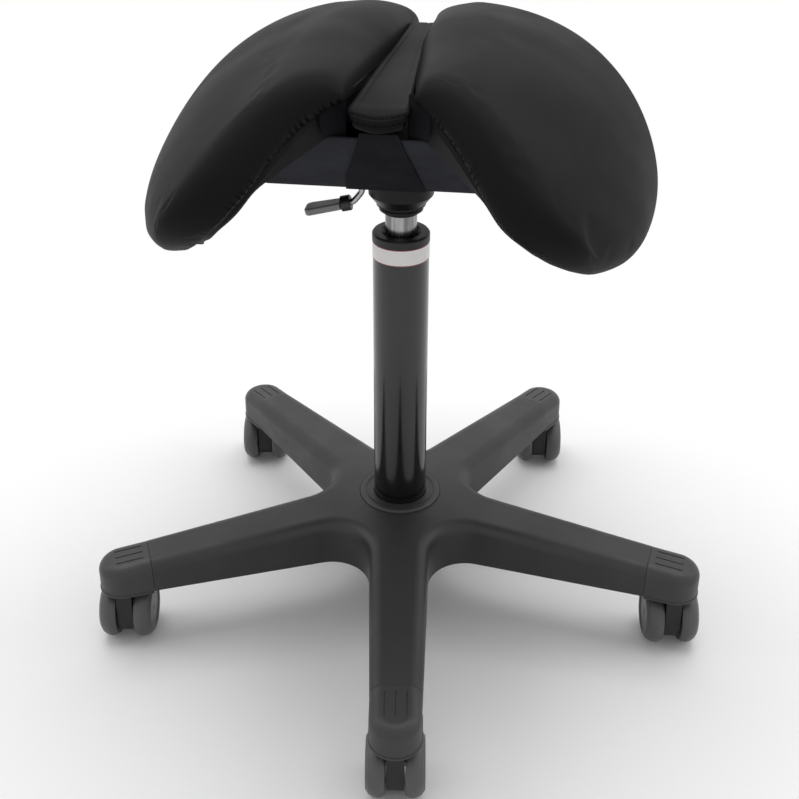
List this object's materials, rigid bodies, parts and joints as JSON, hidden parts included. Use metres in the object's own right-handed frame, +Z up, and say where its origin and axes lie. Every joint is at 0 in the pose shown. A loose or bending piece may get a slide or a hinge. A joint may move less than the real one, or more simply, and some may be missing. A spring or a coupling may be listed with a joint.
{
  "type": "saddle stool",
  "caption": "Swivel stool with a split saddle seat, centre strap, gas-spring column with a height lever, and a star base on twin-wheel casters.",
  "frame": {"origin": "on the floor on the column axis", "axes": "+Z up; -Y towards the front arm of the base, which the sitter faces at rest within a few degrees; +X to the right in the picture"},
  "size_m": [0.5632, 0.5469, 0.5754],
  "materials": {
    "base_nylon": "moulded glass-filled nylon, satin black with a fine grain",
    "trim_plastic": "moulded plastic, satin black",
    "caster_plastic": "moulded plastic, matt black",
    "wheel_plastic": "moulded plastic, dark grey, satin",
    "column_paint": "gloss black powder coat on steel tube",
    "bush_plastic": "moulded acetal, black",
    "label_print": "thin white film with red edge lines",
    "steel": "zinc-plated steel",
    "rod_steel": "ground steel",
    "cylinder_chrome": "hard chrome, polished",
    "buffer_rubber": "black rubber",
    "housing_paint": "black paint on pressed steel, semi-gloss",
    "lever_steel": "bright zinc-plated rod",
    "paddle_plastic": "moulded plastic, mid grey",
    "shell_plastic": "moulded seat shell, matt black",
    "leatherette": "black leatherette over foam, fine grain, satin",
    "cover_fabric": "thin woven fabric, blue-black"
  },
  "bodies": {
    "base": {"base_star": "base_nylon", "hub_ring": "trim_plastic", "end_cap_1": "trim_plastic", "end_cap_2": "trim_plastic", "end_cap_3": "trim_plastic", "end_cap_4": "trim_plastic", "end_cap_5": "trim_plastic", "caster_stem_1": "steel", "caster_stem_2": "steel", "caster_stem_3": "steel", "caster_stem_4": "steel", "caster_stem_5": "steel", "column_tube": "column_paint", "guide_bush": "bush_plastic", "label_band": "label_print", "bearing_washer_low": "steel", "bearing_balls": "steel"},
    "rod": {"piston_rod": "rod_steel", "piston": "bush_plastic", "bearing_washer_high": "steel", "rubber_buffer": "buffer_rubber", "retaining_clip": "steel"},
    "seat": {"gas_cylinder": "cylinder_chrome", "rod_guide": "bush_plastic", "valve_body": "bush_plastic", "mechanism_housing": "housing_paint", "lever_pivot_pin": "steel", "mount_plate": "housing_paint", "seat_screws": "steel", "seat_shell_left": "shell_plastic", "seat_shell_right": "shell_plastic", "cushion_left": "leatherette", "cushion_right": "leatherette", "centre_strap": "leatherette", "dust_cover": "cover_fabric", "front_flap": "cover_fabric"},
    "lever": {"lever_rod": "lever_steel", "lever_collar": "trim_plastic", "lever_paddle": "paddle_plastic"},
    "release": {"release_pin": "steel"},
    "caster_1": {"caster_body_1": "caster_plastic", "caster_axle_1": "steel"},
    "wheel_left_1": {"wheel_left_1": "wheel_plastic"},
    "wheel_right_1": {"wheel_right_1": "wheel_plastic"},
    "caster_2": {"caster_body_2": "caster_plastic", "caster_axle_2": "steel"},
    "wheel_left_2": {"wheel_left_2": "wheel_plastic"},
    "wheel_right_2": {"wheel_right_2": "wheel_plastic"},
    "caster_3": {"caster_body_3": "caster_plastic", "caster_axle_3": "steel"},
    "wheel_left_3": {"wheel_left_3": "wheel_plastic"},
    "wheel_right_3": {"wheel_right_3": "wheel_plastic"},
    "caster_4": {"caster_body_4": "caster_plastic", "caster_axle_4": "steel"},
    "wheel_left_4": {"wheel_left_4": "wheel_plastic"},
    "wheel_right_4": {"wheel_right_4": "wheel_plastic"},
    "caster_5": {"caster_body_5": "caster_plastic", "caster_axle_5": "steel"},
    "wheel_left_5": {"wheel_left_5": "wheel_plastic"},
    "wheel_right_5": {"wheel_right_5": "wheel_plastic"}
  },
  "joints": [
    {"name": "seat_swivel", "type": "hinge", "parent": "base", "child": "rod", "pos_m": [0, 0, 0.06], "axis": [0, 0, 1], "continuous": true},
    {"name": "seat_lift", "type": "slide", "parent": "rod", "child": "seat", "axis": [0, 0, 1], "range_m": [-0.015, 0.15]},
    {"name": "lever_press", "type": "hinge", "parent": "seat", "child": "lever", "pos_m": [-0.02385, 0.00272, 0.4478], "axis": [0.1132, 0.9936, 0], "range_deg": [0, 6], "stiffness_Nm_per_rad": 3, "springref_deg": -2.86},
    {"name": "pin_press", "type": "slide", "parent": "seat", "child": "release", "axis": [0, 0, -1], "range_m": [0, 0.0026]},
    {"name": "caster_swivel_1", "type": "hinge", "parent": "base", "child": "caster_1", "pos_m": [0, -0.2704, 0.05], "axis": [0, 0, 1], "continuous": true},
    {"name": "wheel_left_spin_1", "type": "hinge", "parent": "caster_1", "child": "wheel_left_1", "pos_m": [0, -0.2624, 0.0275], "axis": [1, 0, 0], "continuous": true},
    {"name": "wheel_right_spin_1", "type": "hinge", "parent": "caster_1", "child": "wheel_right_1", "pos_m": [0, -0.2624, 0.0275], "axis": [1, 0, 0], "continuous": true},
    {"name": "caster_swivel_2", "type": "hinge", "parent": "base", "child": "caster_2", "pos_m": [0.25717, -0.08356, 0.05], "axis": [0, 0, 1], "continuous": true},
    {"name": "wheel_left_spin_2", "type": "hinge", "parent": "caster_2", "child": "wheel_left_2", "pos_m": [0.25717, -0.07556, 0.0275], "axis": [1, 0, 0], "continuous": true},
    {"name": "wheel_right_spin_2", "type": "hinge", "parent": "caster_2", "child": "wheel_right_2", "pos_m": [0.25717, -0.07556, 0.0275], "axis": [1, 0, 0], "continuous": true},
    {"name": "caster_swivel_3", "type": "hinge", "parent": "base", "child": "caster_3", "pos_m": [0.15894, 0.21876, 0.05], "axis": [0, 0, 1], "continuous": true},
    {"name": "wheel_left_spin_3", "type": "hinge", "parent": "caster_3", "child": "wheel_left_3", "pos_m": [0.15894, 0.22676, 0.0275], "axis": [1, 0, 0], "continuous": true},
    {"name": "wheel_right_spin_3", "type": "hinge", "parent": "caster_3", "child": "wheel_right_3", "pos_m": [0.15894, 0.22676, 0.0275], "axis": [1, 0, 0], "continuous": true},
    {"name": "caster_swivel_4", "type": "hinge", "parent": "base", "child": "caster_4", "pos_m": [-0.15894, 0.21876, 0.05], "axis": [0, 0, 1], "continuous": true},
    {"name": "wheel_left_spin_4", "type": "hinge", "parent": "caster_4", "child": "wheel_left_4", "pos_m": [-0.15894, 0.22676, 0.0275], "axis": [1, 0, 0], "continuous": true},
    {"name": "wheel_right_spin_4", "type": "hinge", "parent": "caster_4", "child": "wheel_right_4", "pos_m": [-0.15894, 0.22676, 0.0275], "axis": [1, 0, 0], "continuous": true},
    {"name": "caster_swivel_5", "type": "hinge", "parent": "base", "child": "caster_5", "pos_m": [-0.25717, -0.08356, 0.05], "axis": [0, 0, 1], "continuous": true},
    {"name": "wheel_left_spin_5", "type": "hinge", "parent": "caster_5", "child": "wheel_left_5", "pos_m": [-0.25717, -0.07556, 0.0275], "axis": [1, 0, 0], "continuous": true},
    {"name": "wheel_right_spin_5", "type": "hinge", "parent": "caster_5", "child": "wheel_right_5", "pos_m": [-0.25717, -0.07556, 0.0275], "axis": [1, 0, 0], "continuous": true}
  ],
  "couplings": [
    {"joint": "pin_press", "follows": "lever_press", "m_per_rad": 0.024}
  ]
}
